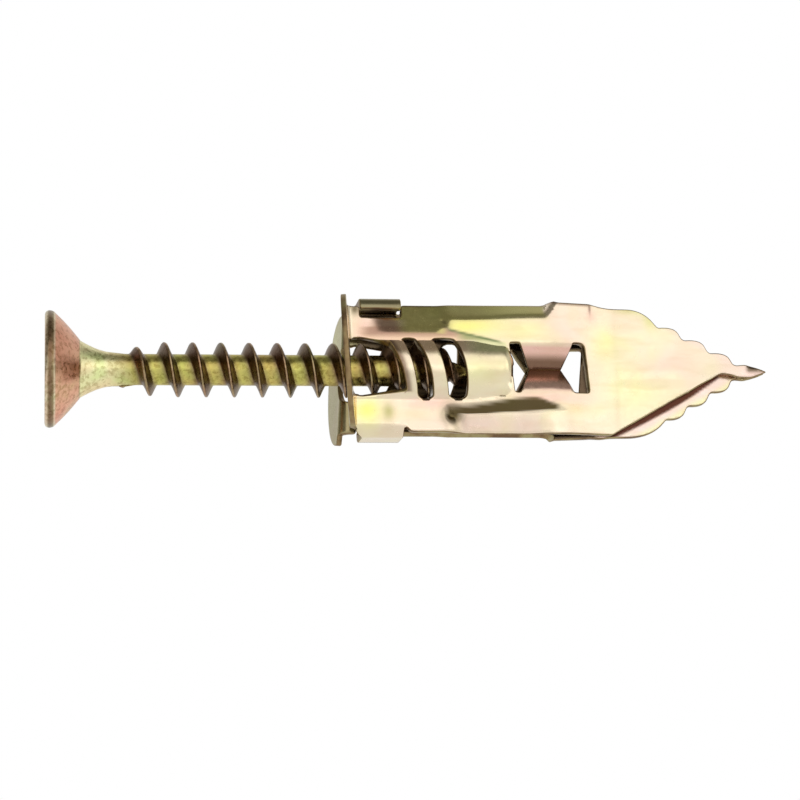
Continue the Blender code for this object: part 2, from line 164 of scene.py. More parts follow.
# Painted shade and shadow: rose brown, dark sage, olive, hook olive, dark green, dark brown, dark
# band, red brown.
SHADE_ROSE_BROWN = (0.50, 0.32, 0.25)
FLANK_ROSE = (0.92, 0.66, 0.50)
SAGE = (0.80, 0.82, 0.50)
SHADE_SAGE = (0.38, 0.41, 0.20)
SHADE_OLIVE = (0.68, 0.63, 0.27)
HOOK_SHADE_OLIVE = (0.34, 0.31, 0.19)
SPOT_GREEN = (0.42, 0.44, 0.14)
PAINTED_SHADOW_GREEN = (0.16, 0.22, 0.10)
PAINTED_SHADE_BROWN = (0.22, 0.13, 0.09)
PAINTED_SHADE_DARK = (0.14, 0.105, 0.05)
PAINTED_SHADOW_RED = (0.085, 0.020, 0.008)
# Painted shade at the shoulder.
SHOULDER_SHADE_OLIVE = (0.78, 0.74, 0.36)
MARGIN_PINK = (0.98, 0.78, 0.72)
MARGIN_YELLOW = (0.95, 0.92, 0.56)
# Screw: painted shade on the flanks and rim, painted highlights on the roots and neck.
SCREW_OLIVE = (0.36, 0.29, 0.14)
FLANK_SHADE_BROWN = (0.18, 0.11, 0.065)
ROOT_HIGHLIGHT_YELLOW = (0.72, 0.66, 0.20)
NECK_HIGHLIGHT_YELLOW = (1.0, 0.97, 0.60)
RIM_SHADE_BROWN = (0.40, 0.33, 0.20)
SALMON = (0.90, 0.52, 0.38)
# Painted shade on the inner side, in olive and brown.
INNER_SHADE_OLIVE = (0.42, 0.37, 0.21)
INNER_SHADE_BROWN = (0.16, 0.115, 0.075)
INNER_TAN = (0.72, 0.56, 0.40)
PLATING_AND_SHADE_CLOUDS = (
    (YELLOW, 1.1, -3.3, 1.1, 0.9, 0.95), (SPOT_GREEN, 2.7, -3.4, 0.45, 0.65, 0.85),
    (ORANGE, 4.6, -3.6, 1.6, 0.5, 0.5), (PINK, 5.6, -2.7, 1.9, 0.5, 0.8),
    (PINK, 0.9, 2.7, 0.9, 1.4, 0.8), (PALE_YELLOW, 9.2, -0.4, 2.4, 1.1, 0.9),
    (YELLOW, 8.9, 3.0, 2.8, 0.7, 1.0), (PALE_YELLOW, 12.5, 2.7, 3.0, 0.8, 0.8),
    (PALE_PINK, 16.3, 3.2, 1.8, 1.6, 0.9), (PINK, 14.5, -2.3, 3.0, 0.45, 0.6),
    (PALE_PINK, 10.0, -4.2, 5.5, 0.8, 0.9), (YELLOW, 18.9, 1.9, 1.1, 1.3, 0.45),
    (PALE_YELLOW, 20.8, -1.2, 2.0, 2.6, 0.8), (PALE_PINK, 23.5, 0.6, 2.4, 1.4, 0.6),
    (ORANGE, 16.6, -3.0, 0.9, 0.35, 0.6), (YELLOW, 5.2, -0.9, 0.35, 1.2, 0.6),
    # Painted shade: beside the tab, in the upper dimple, at the shoulder's upper edge and in its
    # crease.
    (PAINTED_SHADE_DARK, 0.35, 4.2, 0.45, 0.45, 0.9), (PAINTED_SHADE_DARK, 7.0, 3.2, 0.40, 0.32, 0.8),
    (SHOULDER_SHADE_OLIVE, 21.2, 4.6, 1.5, 0.42, 0.9), (SHOULDER_SHADE_OLIVE, 22.5, 3.75, 0.55, 0.6, 0.8),
    (PAINTED_SHADE_BROWN, 17.8, 4.5, 0.10, 0.45, 0.9), (PINK, 17.9, 3.9, 0.35, 0.5, 0.5),
)

# Screw's plating and painted highlight and shade zones, as distances towards the head over which
# each starts and ends.
RUNOUT_ZONE = ((16.85, 16.95), (17.15, 17.30))
NECK_ZONE = ((17.20, 17.35), (19.38, 19.46))
CONE_ZONE = ((19.40, 19.50), (21.10, 21.25))
CONE_BORDER = ((21.12, 21.18), (21.22, 21.30))
RIM_START = (21.15, 21.25)
RIM_MIDDLE = 21.50
FACE_BORDER = (21.68, 21.76)
# The same along one pitch of the thread.
HEADWARD_FLANK = ((0.20, 0.28), (0.44, 0.47))
TIPWARD_FLANK = ((0.495, 0.53), (0.62, 0.70))
THREAD_CREST = 0.485
THREAD_ROOT = 0.93

# Mesh fineness.
GRID = 0.15
GRID_COLUMNS = (-5.0, 31.0)
GRID_ROWS = (-8.6, 5.4)
CREASE_ROWS = (3.4, 2.05)
OUTLINE_STEP = 0.12
RIM_ROWS = ((0.0, 0.23), (0.022, 0.275), (0.070, 0.30))

# Screw.
PITCH = 2.04
THREAD_START = -17.47
THREAD_PHASE = math.pi
ROOT_RADIUS = 1.13
CREST_RADIUS = 2.00
NECK_RADIUS = 1.27
GIMLET = 3.3
THREAD_STEPS = 96
HEAD_RADIUS = 4.22
HEAD_FLAT = 3.88
RECESS_RADIUS = 2.30
RECESS_FLOOR = 1.00
RECESS_DEPTH = 2.30
RECESS_BLADE = 0.86
RECESS_ABOVE = 0.40
RECESS_CORNER = 0.10
RECESS_FILLET = 0.16
RECESS_TIP = 0.45

# Head and neck: distances from the head's face, with insets from the head's radius or radii.
RIM_INSETS = ((0.02, 0.22), (0.07, 0.12), (0.15, 0.05), (0.26, 0.01), (0.36, 0.0), (0.48, 0.02),
              (0.60, 0.06), (0.68, 0.11))
CONE_RADII = ((0.75, 4.03), (1.30, 3.50), (1.90, 2.84), (2.46, 2.16))
NECK_RADII = ((2.54, 2.05), (3.00, 1.80), (3.60, 1.52), (4.10, 1.35))

# Stage, in metres: the view, the floor and the softbox.
CENTRE = Vector((3.8, 0.0, -2.15)) * MM
VIEW_AZIMUTH = math.radians(-8.0)
VIEW_ELEVATION = math.radians(-10.4)
VIEW_ROLL = math.radians(-1.2)
VIEW_DISTANCE = 0.187
SENSOR = 36.0
LENS = 115.3
FLOOR_HEIGHT = -0.048
FLOOR_HALF = 1.5
FLOOR_GLOW = 0.34
SOFTBOX_PLACE = (0.05, -0.40, -0.03)
SOFTBOX_SIZE = 0.20
SOFTBOX_POWER = 0.03

# Lights of the studio sky: axis, full and fading angles in degrees, colour.
SKY_LIGHTS = (
    ((0.0, 0.0, 1.0), 179.0, 180.0, (0.20, 0.20, 0.17)),
    ((0.16, -0.97, -0.12), 48.0, 60.0, (0.86, 0.85, 0.84)),
    ((1.0, -0.15, 0.05), 26.0, 52.0, (0.36, 0.36, 0.36)),
    ((0.1, 0.93, 0.25), 30.0, 75.0, (0.55, 0.55, 0.56)),
)


def ramp(value, low, high):
    part = np.clip((value - low) / (high - low), 0.0, 1.0)
    return part * part * (3.0 - 2.0 * part)


def between(value, rise, fall):
    """Goes up over the range rise and down again over the range fall."""
    return ramp(value, *rise) * (1.0 - ramp(value, *fall))


def soft_positive(value, softness):
    return 0.5 * (value + np.sqrt(value * value + softness * softness))


# ---- the bent surface of a half ----

def plate_depth(u):
    slope = (PLATE_DEPTH - POINT_DEPTH) / (POINT_START - PLATE_END)
    drop = soft_positive(u - PLATE_END, 0.5) * slope
    closing = SPEAR_CLOSING * ramp(u, 24.0, 29.5)
    return POINT_DEPTH + soft_positive(PLATE_DEPTH - drop - POINT_DEPTH, 0.06) - closing


def channel_rise(u, v):
    """Half-round thread channel; it narrows a little and ends in a steep rounded nose."""
    radius = CHANNEL_RADIUS - CHANNEL_TAPER * ramp(u, 8.4, CHANNEL_END)
    nose = np.clip((u - CHANNEL_END) / CHANNEL_NOSE, 0.0, 1.0)
    closing = nose * nose * (radius ** 2 - PLATE_DEPTH ** 2)
    round_part = np.sqrt(np.maximum(radius ** 2 - v * v - closing, 0.0))
    return soft_positive(round_part - PLATE_DEPTH, 0.10 + 0.45 * ramp(-v, 0.6, 1.7))


def upper_crease(u):
    """Height of the crease below the upper strip, which narrows away from the collar."""
    outwards = (UPPER_CREASE - CHANNEL_CREASE) * ramp(u, 6.2, 7.5)
    return CHANNEL_CREASE + outwards + CREASE_RISE * ramp(u, 8.0, 14.0)


def upper_drop(u, v):
    """The upper side leans back: from the channel near the collar, outside a crease further on."""
    crease = upper_crease(u)
    strength = ramp(u, 0.8, 2.8) * (1.0 - ramp(u - 0.55 * (v - UPPER_CREASE), 14.0, 14.6))
    beyond = soft_positive(v - crease, 0.10) / (STRIP_WIDTH - crease)
    return UPPER_DROP * strength * beyond


def lower_drop(u, v):
    """The lower side steps back along a soft crease that starts at a dimple and fades out."""
    strength = between(u, (6.6, 8.6), (12.8, 16.4))
    top = 2.75 - 0.35 * ramp(u, 7.5, 12.0) + 0.5 * ramp(u, 14.0, 15.9)
    bottom = 3.38 - 0.18 * ramp(u, 8.0, 14.0)
    step = LOWER_STEP * ramp(-v, top, bottom)
    slope = LOWER_SLOPE * soft_positive(-v - bottom, 0.10)
    return strength * (step + slope)


def fin_drop(u, v):
    inside = WINDOW_HALF - np.abs(v - WINDOW_TILT * (u - sum(WINDOW) / 2))
    near = (u > FIN_BASE[0] - 0.35) & (u < FIN_BASE[1] + 0.35) & (inside > 0)
    bend = np.clip(inside, 0.0, None) / (WINDOW_HALF - FIN_GAP)
    return np.where(near, FIN_DROP * bend ** 1.25, 0.0)


def dimple_drop(u, v):
    drop = 0.0
    for centre_u, centre_v, radius, depth in DIMPLES:
        square = ((u - centre_u) ** 2 + (v - centre_v) ** 2) / radius ** 2
        drop = drop + depth * np.exp(-1.6 * square ** 1.5)
    return drop


def margin_distance(u, v):
    """Distance beyond the line that the other half's straight edge covers."""
    run = STRAIGHT_EDGE[1] - STRAIGHT_EDGE[0]
    rise = HALF_WIDTH - POINT_EDGE
    return ((u - STRAIGHT_EDGE[0]) * rise + (v - HALF_WIDTH) * run) / math.hypot(run, rise)


def facet_drop(u, v):
    """The spear's upper side is ground down to a facet."""
    return SPEAR_FACET * ramp(u, 29.6, 30.2) * ramp(v, 0.08, 0.55)


def waviness(u, v):
    """Slight unevenness of pressed sheet, which bends the reflections."""
    slow = 0.022 * np.sin(0.55 * u + 0.4 * v + 0.6) * np.cos(0.75 * v - 0.13 * u)
    return (slow + 0.010 * np.sin(1.3 * u - 0.9 * v + 1.1)) * ramp(u, 1.0, 4.0)


def middle_surface(u, v):
    """Points of the front half's middle surface at plan positions (u, v), in millimetres."""
    depth = plate_depth(u) + channel_rise(u, v) + waviness(u, v)
    depth = depth - upper_drop(u, v) - lower_drop(u, v) - fin_drop(u, v)
    depth = depth - dimple_drop(u, v) - facet_drop(u, v)
    plate = np.stack([u, -depth, v], axis=-1)
    turn = np.clip((BEND_X - u) / BEND_RADIUS, 0.0, BEND_ANGLE)
    beyond = BEND_X - u - turn * BEND_RADIUS
    lean = (LOBE_LEAN * v - LOBE_SHIFT) * turn / BEND_ANGLE
    lobe_x = BEND_X - lean - BEND_RADIUS * np.sin(turn) - beyond * math.cos(BEND_ANGLE)
    lobe_depth = PLATE_DEPTH + BEND_RADIUS * (1 - np.cos(turn)) + beyond * math.sin(BEND_ANGLE)
    lobe = np.stack([lobe_x, -lobe_depth, v], axis=-1)
    tab_z, tab_depth = tab_section(-TAB_BEND - v)
    tab = np.stack([u, -tab_depth, tab_z], axis=-1)
    on_tab = (v < -TAB_BEND) & (u < NOTCH[1]) & (u >= BEND_X)
    return np.where((u < BEND_X)[:, None], lobe, np.where(on_tab[:, None], tab, plate))


def tab_section(along):
    """Height and depth of the tab's middle line: a bend, a flat part and a hooked end."""
    turn = np.clip(along / TAB_RADIUS, 0.0, math.pi / 2)
    flat = np.clip(along - TAB_RADIUS * math.pi / 2, 0.0, TAB_FLAT)
    past = np.maximum(along - TAB_RADIUS * math.pi / 2 - TAB_FLAT, 0.0)
    hook = np.clip(past / TAB_HOOK_RADIUS, 0.0, TAB_HOOK_ANGLE)
    end = np.maximum(past - TAB_HOOK_RADIUS * TAB_HOOK_ANGLE, 0.0)
    before = np.minimum(along, 0.0)
    height = (-TAB_BEND - before - TAB_RADIUS * np.sin(turn)
              + TAB_HOOK_RADIUS * (1 - np.cos(hook)) + end * math.sin(TAB_HOOK_ANGLE))
    depth = (PLATE_DEPTH - TAB_RADIUS * (1 - np.cos(turn)) - flat
             - TAB_HOOK_RADIUS * np.sin(hook) - end * math.cos(TAB_HOOK_ANGLE))
    return height, depth


def surface_normals(u, v):
    step = 0.01
    along = middle_surface(u + step, v) - middle_surface(u - step, v)
    across = middle_surface(u, v + step) - middle_surface(u, v - step)
    return unit(np.cross(along, across))


# ---- plan outlines ----

def rounded(corners, radii):
    """Closed outline through the corners, each rounded by its own radius."""
    outline = []
    count = len(corners)
    for index in range(count):
        here = np.array(corners[index], float)
        before = np.array(corners[index - 1], float) - here
        after = np.array(corners[(index + 1) % count], float) - here
        reach = min(radii[index], 0.48 * np.linalg.norm(before), 0.48 * np.linalg.norm(after))
        start = here + before / np.linalg.norm(before) * reach
        end = here + after / np.linalg.norm(after) * reach
        steps = max(int(reach / 0.05), 2)
        for t in np.linspace(0.0, 1.0, steps + 1):
            outline.append(start * (1 - t) ** 2 + here * 2 * t * (1 - t) + end * t * t)
    return np.array(outline)


def resampled(loop, step=OUTLINE_STEP):
    """The closed loop with points about one step apart."""
    closed = np.vstack([loop, loop[:1]])
    lengths = np.linalg.norm(np.diff(closed, axis=0), axis=1)
    keep = np.concatenate([[True], lengths > 1e-6])
    closed = closed[keep]
    lengths = lengths[lengths > 1e-6]
    along = np.concatenate([[0.0], np.cumsum(lengths)])
    count = max(int(along[-1] / step), 8)
    places = np.linspace(0.0, along[-1], count, endpoint=False)
    return np.stack([np.interp(places, along, closed[:, axis]) for axis in (0, 1)], axis=1)


def curved_side(points, half):
    """Slot side: a curve through its u positions at v = half, 0 and -half."""
    top, middle, bottom = points
    v = np.linspace(half, -half, 15)
    bend = ((top + bottom) / 2 - middle) / half ** 2
    return np.stack([middle + (top - bottom) / (2 * half) * v + bend * v * v, v], axis=1)


def slot_outline(left, right):
    """Slot across the channel with curved sides, a round lower end and a tighter upper end."""
    first = curved_side(left, SLOT_HALF)
    second = curved_side(right, SLOT_HALF)
    return resampled(rounded_ends(first, second[::-1]))


def rounded_ends(down, up):
    """Joins the two sides of a slot by half-round ends."""
    upper, lower = SLOT_ENDS
    bottom = end_arc(down[-1], up[0], down[-1] - down[-2], lower)
    top = end_arc(up[-1], down[0], up[-1] - up[-2], upper)
    return np.vstack([down, bottom, up, top])


def end_arc(start, end, direction, longest):
    """Half ellipse from start to end that bulges along direction."""
    middle = (start + end) / 2
    half = (start - end) / 2
    reach = direction / np.linalg.norm(direction) * min(np.linalg.norm(half), longest)
    turns = np.linspace(0.0, math.pi, 9)[1:-1]
    return np.array([middle + half * math.cos(turn) + reach * math.sin(turn) for turn in turns])


def window_outline():
    """The opening round the fins: two end openings joined by the slit between the fins."""
    left, right = WINDOW
    middle = (left + right) / 2
    corners = [
        (right - WINDOW_LEAN, WINDOW_HALF), (FIN_BASE[1], WINDOW_HALF), (FIN_TIP[1], FIN_GAP),
        (FIN_TIP[0], FIN_GAP), (FIN_BASE[0], WINDOW_HALF), (left - WINDOW_LEAN, WINDOW_HALF),
        (left + WINDOW_LEAN, -WINDOW_HALF), (FIN_BASE[0], -WINDOW_HALF), (FIN_TIP[0], -FIN_GAP),
        (FIN_TIP[1], -FIN_GAP), (FIN_BASE[1], -WINDOW_HALF), (right + WINDOW_LEAN, -WINDOW_HALF),
    ]
    tilted = [(u, v + WINDOW_TILT * (u - middle)) for u, v in corners]
    radii = [0.50, 0.10, 0.06, 0.06, 0.10, 0.18, 0.55, 0.10, 0.06, 0.06, 0.10, 0.22]
    return resampled(rounded(tilted, radii), 0.09)


def scallops():
    """The toothed edge from the shoulder to the spear point."""
    edge = []
    length = (SHOULDER[1] - SHOULDER[0]) / math.sin(SHOULDER_SWING)
    height = (SHOULDER_HEIGHT - FIRST_TOOTH) / (1 - math.cos(SHOULDER_SWING))
    for turn in np.linspace(0.0, SHOULDER_SWING, 9)[:-1]:
        drop = height * (1 - math.cos(turn))
        edge.append((SHOULDER[0] + length * math.sin(turn), SHOULDER_HEIGHT - drop))
    for tooth in range(TOOTH_COUNT):
        start = SHOULDER[1] + tooth * TOOTH_LENGTH
        height = FIRST_TOOTH - tooth * TOOTH_STEP
        for part in np.linspace(0.04, 0.42, 5):
            edge.append((start + TOOTH_LENGTH * part, height + 0.03 * math.sin(part * 6)))
        for turn in np.linspace(0.15, 1.25, 6):
            edge.append((start + TOOTH_LENGTH * (0.42 + 0.44 * math.sin(turn)),
                         height - TOOTH_STEP * 0.72 * (1 - math.cos(turn))))
        edge.append((start + TOOTH_LENGTH * 0.93, height - TOOTH_STEP * 0.86))
    neck = SHOULDER[1] + TOOTH_COUNT * TOOTH_LENGTH
    spear = [(neck + 0.10, SPEAR_HALF - 0.06), (neck + SPEAR_LENGTH, SPEAR_HALF),
             (neck + SPEAR_LENGTH + 0.35, SPEAR_HALF - 0.12), (LEG_HIGH.x, 0.03)]
    return edge + spear


def lobe_edge():
    """The collar lobe's round edge, from its upper root to its lower root."""
    middle = (LOBE_LOW.z + LOBE_HIGH.z) / 2
    half = (LOBE_HIGH.z - LOBE_LOW.z) / 2
    root = BEND_END - LOBE_NECK
    reach = LOBE_REACH - LOBE_NECK
    edge = []
    for turn in np.linspace(0.0, math.pi, 49):
        along = math.sin(turn) ** (2 / LOBE_POWER)
        across = math.copysign(abs(math.cos(turn)) ** (2 / LOBE_POWER), math.cos(turn))
        edge.append((root - reach * along, middle + half * across))
    return edge


def half_outline():
    """Whole outline of a half: lobe, notch, strips, teeth, straight edge and tab."""
    tab_end = TAB_BEND + TAB_RADIUS * math.pi / 2 + TAB_FLAT
    tab_end += TAB_HOOK_RADIUS * TAB_HOOK_ANGLE + TAB_HOOK_END
    lobe = lobe_edge()
    corners = [
        (BEND_END + 0.05, 4.45, 0.08), (NOTCH[0], 4.40, 0.15), (NOTCH[0], NOTCH[2], 0.20),
        (NOTCH[1], NOTCH[2], 0.30), (NOTCH[1], STRIP_WIDTH, 0.22),
        (STRIP_END[0], STRIP_WIDTH, 0.30), (STRIP_END[1], HALF_WIDTH, 0.30),
        (SHOULDER_START, HALF_WIDTH, 0.08),
        (SHOULDER_START + SHOULDER_EASE, SHOULDER_HEIGHT + 0.02, 0.60),
    ]
    corners += [(u, v, 0.12) for u, v in scallops()]
    corners += [
        (LEG_HIGH.x - 0.05, -0.04, 0.03), (LEG_HIGH.x - 1.2, -SPEAR_DROP, 0.25),
        (SPEAR_LOWER[1], -SPEAR_DROP + 0.04, 0.25), (SPEAR_LOWER[0], -POINT_EDGE - 0.08, 0.30),
        (STRAIGHT_EDGE[1], -POINT_EDGE, 0.25),
        (STRAIGHT_EDGE[0], -HALF_WIDTH, 0.12), (LOWER_END[1], -HALF_WIDTH, 0.5),
        (LOWER_END[0], -LOWER_WIDTH, 0.5), (NOTCH[1] + 0.45, -LOWER_WIDTH, 0.25),
        (NOTCH[1] + 0.15, -TAB_BEND - 0.15, 0.10), (TAB[1] + 0.05, -TAB_BEND - 0.15, 0.08),
        (TAB[1], -tab_end, 0.12), (TAB[0] + 0.05, -tab_end, 0.12),
        (TAB[0] + 0.05, -TAB_BEND - 0.75, 0.15),
        (0.34, -TAB_BEND - 0.35, 0.15), (0.22, -4.50, 0.08), (BEND_END + 0.05, -4.45, 0.08),
    ]
    places = [corner[:2] for corner in corners]
    radii = [corner[2] for corner in corners]
    body = rounded(places + list(reversed(lobe)), radii + [0.15] * len(lobe))
    return resampled(body)[::-1]


def collar_opening():
    """The lobe's part of the round hole, run together with the channel's first slot."""
    crown = BEND_END - (COLLAR_HOLE - lobe_depth(BEND_END)) / math.sin(BEND_ANGLE)
    lower = []
    for part in np.linspace(0.0, 1.0, 12):
        u = BEND_X + (crown - BEND_X) * (1 - (1 - part) ** 2)
        lower.append((u, -math.sqrt(max(COLLAR_HOLE ** 2 - lobe_depth(u) ** 2, 0.0))))
    upper = [(u, -v) for u, v in reversed(lower)]
    right = curved_side(FIRST_SLOT, SLOT_HALF + 0.04)
    inner = [tuple(point) for point in right[1:-1]]
    points = lower + upper[1:] + [FIRST_SLOT_ROOTS[0]] + inner + [FIRST_SLOT_ROOTS[1]]
    radii = [0.2] * (len(lower) + len(upper)) + [0.45] + [0.1] * (len(inner) - 2) + [0.55, 0.2]
    return resampled(rounded(points, radii), 0.10)


def lobe_depth(u):
    """Depth of the bent sheet's middle surface at plan position u at and past the bend."""
    turn = min(max((BEND_X - u) / BEND_RADIUS, 0.0), BEND_ANGLE)
    beyond = max(BEND_X - u - turn * BEND_RADIUS, 0.0)
    return PLATE_DEPTH + BEND_RADIUS * (1 - math.cos(turn)) + beyond * math.sin(BEND_ANGLE)


# ---- filling a plan with sheet ----

def inside_loop(points, loop):
    """Which points lie inside the closed loop, by crossing count."""
    start = np.roll(loop, 1, axis=0)
    inside = np.zeros(len(points), bool)
    for (u0, v0), (u1, v1) in zip(start, loop):
        if v0 == v1:
            continue
        between = (v0 > points[:, 1]) != (v1 > points[:, 1])
        inside ^= between & (points[:, 0] < u0 + (points[:, 1] - v0) * (u1 - u0) / (v1 - v0))
    return inside


def on_sheet(points, outline, holes):
    keep = inside_loop(points, outline)
    for hole in holes:
        keep &= ~inside_loop(points, hole)
    return keep


def unit(vectors):
    return vectors / np.linalg.norm(vectors, axis=1)[:, None]


def shifted(loop, distance):
    """The loop moved to its left side by distance."""
    before = loop - np.roll(loop, 1, axis=0)
    after = np.roll(loop, -1, axis=0) - loop
    along = unit(unit(before) + unit(after))
    return loop + distance * np.stack([-along[:, 1], along[:, 0]], axis=1)


def oriented(loop, counterclockwise):
    following = np.roll(loop, -1, axis=0)
    area = np.sum(loop[:, 0] * following[:, 1] - following[:, 0] * loop[:, 1])
    return loop if (area > 0) == counterclockwise else loop[::-1]


def grid_points(outline, holes):
    """Plan points on grid lines, closer together across the creases and bends."""
    rows = set(np.round(np.arange(*GRID_ROWS, GRID), 3))
    rows |= {round(side * (crease + shift), 3) for side in (-1, 1) for crease in CREASE_ROWS
             for shift in (-0.05, 0.05)}
    columns = set(np.round(np.arange(*GRID_COLUMNS, GRID), 3))
    columns |= set(np.round(np.arange(BEND_END - 0.1, BEND_X + 0.1, GRID / 2), 3))
    grid = np.array([(u, v) for u in sorted(columns) for v in sorted(rows)])
    grid = grid[on_sheet(grid, outline, holes)]
    rims = np.vstack([outline] + holes)
    clear = np.ones(len(grid), bool)
    for start in range(0, len(rims), 200):
        gaps = grid[:, None, :] - rims[None, start:start + 200, :]
        clear &= (gaps ** 2).sum(axis=2).min(axis=1) > (RIM_ROWS[-1][0] + 0.075) ** 2
    return grid[clear]


def fill_plan(outline, holes):
    """Triangulates the plan. Returns its points, triangles and each point's half thickness."""
    loops = [oriented(outline, True)] + [oriented(hole, False) for hole in holes]
    points = []
    thickness = []
    edges = []
    for loop in loops:
        for distance, half in RIM_ROWS:
            first = len(points)
            points.extend(shifted(loop, distance))
            thickness.extend([half] * len(loop))
            places = range(len(loop))
            edges.extend((first + index, first + (index + 1) % len(loop)) for index in places)
    inner = grid_points(loops[0], loops[1:])
    points.extend(inner)
    thickness.extend([SHEET / 2] * len(inner))
    vectors = [Vector(point) for point in points]
    plan, _, faces, sources, _, _ = delaunay_2d_cdt(vectors, edges, [], 0, 1e-6, True)
    plan = np.array([tuple(point) for point in plan])
    half = np.array([thickness[source[0]] if source else SHEET / 2 for source in sources])
    faces = np.array([face for face in faces if len(face) == 3])
    centres = plan[faces].mean(axis=1)
    faces = faces[on_sheet(centres, loops[0], loops[1:])]
    return plan, faces, half


def sheet_mesh(name, plan, faces, half):
    """Closed sheet of the given half thickness over the triangulated plan."""
    used = np.unique(faces)
    renumber = np.full(len(plan), -1)
    renumber[used] = np.arange(len(used))
    faces = renumber[faces]
    u, v = plan[used, 0], plan[used, 1]
    middle = middle_surface(u, v)
    thinning = 1.0 - LOBE_THIN * ramp(-u, -BEND_X, 0.8) - SPEAR_THIN * ramp(u, 26.0, 29.5)
    offset = surface_normals(u, v) * (half[used] * thinning)[:, None]
    points = np.vstack([middle + offset, middle - offset]) * MM
    count = len(used)
    rims = rim_edges(faces)
    walls = [(end, start, start + count, end + count) for start, end in rims]
    polygons = [tuple(face) for face in faces]
    polygons += [tuple(face[::-1] + count) for face in faces]
    mesh = bpy.data.meshes.new(name)
    mesh.from_pydata([tuple(point) for point in points], [], polygons + walls)
    # Faces at and near the rim take the edge material, whose brown and olive are painted shade.
    near_rim = (half[used][faces] < SHEET / 2 - 0.02).any(axis=1)
    sheared = np.concatenate([near_rim, near_rim, np.ones(len(walls), bool)])
    mesh.polygons.foreach_set("material_index", sheared.astype(np.int32))
    paint(mesh, np.vstack([outer_plating_and_shade(u, v), inner_plating_and_shade(u, v)]))
    mesh.shade_smooth()
    return mesh


def paint(mesh, colors):
    """Stores a colour on every vertex: the plated finish, with painted shade and highlights."""
    attribute = mesh.color_attributes.new("plating_and_light", "FLOAT_COLOR", "POINT")
    opaque = np.hstack([colors, np.ones((len(colors), 1))])
    attribute.data.foreach_set("color", opaque.astype(np.float32).ravel())


def rim_edges(faces):
    """Directed edges that belong to one triangle only."""
    sides = np.vstack([faces[:, [0, 1]], faces[:, [1, 2]], faces[:, [2, 0]]])
    present = {(int(a), int(b)) for a, b in sides}
    return [(a, b) for a, b in present if (b, a) not in present]


def tooth_shift(u, v):
    """How far the rear half's teeth stand out of line with the front's, along and outwards."""
    fading = np.clip((SPEAR_LOWER[1] - u) / (SPEAR_LOWER[1] - SHOULDER[1]), 0.0, 1.0)
    amount = fading * ramp(v, 0.5, 1.5)
    along = TOOTH_SHIFT[0] * amount * ramp(u, 20.0, SHOULDER[1])
    outwards = TOOTH_SHIFT[1] * amount * ramp(u, SHOULDER_START, SHOULDER_START + SHOULDER_EASE)
    return along, outwards


def shift_teeth(mesh):
    """Moves the toothed edge of the rear half, built like the front one, to its own place."""
    places = np.empty(len(mesh.vertices) * 3)
    mesh.vertices.foreach_get("co", places)
    places = places.reshape(-1, 3)
    along, outwards = tooth_shift(places[:, 0] / MM, places[:, 2] / MM)
    places[:, 0] += along * MM
    places[:, 2] += outwards * MM
    mesh.vertices.foreach_set("co", places.ravel())


def build_halves(materials):
    """The front half, and the rear one as its copy turned half a turn about the screw's axis."""
    outline = half_outline()
    holes = [collar_opening(), slot_outline(*SECOND_SLOT), slot_outline(*THIRD_SLOT)]
    holes.append(window_outline())
    plan, faces, half = fill_plan(outline, holes)
    mesh = sheet_mesh("anchor_half", plan, faces, half)
    for material in materials:
        mesh.materials.append(material)
    halves = []
    for name, turn in (("anchor_half_front", 0.0), ("anchor_half_rear", math.pi)):
        own = mesh.copy()
        if turn:
            shift_teeth(own)
        own.transform(Matrix.Rotation(turn, 4, "X"))
        halves.append(placed(name, own))
    bpy.data.meshes.remove(mesh)
    return halves


# ---- plating colours, painted shade and highlights ----

def spot(u, v, centre_u, centre_v, length, width):
    square = ((u - centre_u) / length) ** 2 + ((v - centre_v) / width) ** 2
    return np.exp(-square)


def layered(base, layers):
    """The base colour on every vertex, under the (colour, amounts) layers in their order."""
    colors = np.tile(base, (len(layers[0][1]), 1))
    for color, amounts in layers:
        colors = colors + (np.array(color) - colors) * np.clip(amounts, 0.0, 1.0)[:, None]
    return colors


